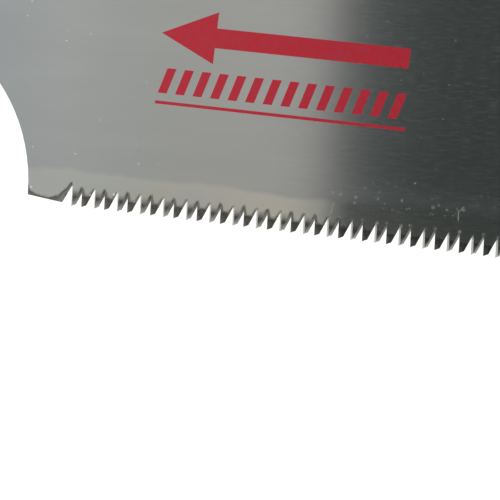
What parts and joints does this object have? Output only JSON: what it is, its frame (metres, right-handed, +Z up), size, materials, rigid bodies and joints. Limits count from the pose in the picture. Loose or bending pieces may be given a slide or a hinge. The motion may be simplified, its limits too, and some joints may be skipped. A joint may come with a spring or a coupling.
{
  "type": "pull saw",
  "caption": "Pull saw: thin deep plate toothed along one edge, hooked on a pin in a folded steel head, with a long oval handle wound in rattan.",
  "frame": {"origin": "centre of the saw's length and width, on the surface that it lies on", "axes": "+X from the butt to the toe, +Y from the teeth to the plate's back, +Z up, across the plate"},
  "size_m": [0.6042, 0.0606, 0.023],
  "materials": {
    "blade_steel": "satin",
    "head_steel": "satin",
    "pin_steel": "polished",
    "spacer_steel": "satin",
    "rivet_steel": "satin",
    "ferrule_steel": "satin",
    "core_wood": "matte",
    "rattan": "satin",
    "binding_lacquer": "gloss",
    "eyelet_brass": "satin"
  },
  "bodies": {
    "handle": {"head_channel": "head_steel", "hook_pin": "pin_steel", "tail_spacer": "spacer_steel", "head_rivets": "rivet_steel", "front_ferrule": "ferrule_steel", "core_right": "core_wood", "core_left": "core_wood", "core_pins": "rivet_steel", "rattan_wrap": "rattan", "front_binding": "binding_lacquer", "rear_binding": "binding_lacquer", "butt_cap": "ferrule_steel", "hang_eyelet": "eyelet_brass"},
    "blade": {"blade": "blade_steel"}
  },
  "joints": [
    {"name": "blade_swing", "type": "hinge", "parent": "handle", "child": "blade", "pos_m": [-0.0306, 0.01885, 0.0115], "axis": [0, 0, -1], "range_deg": [0, 25]}
  ]
}
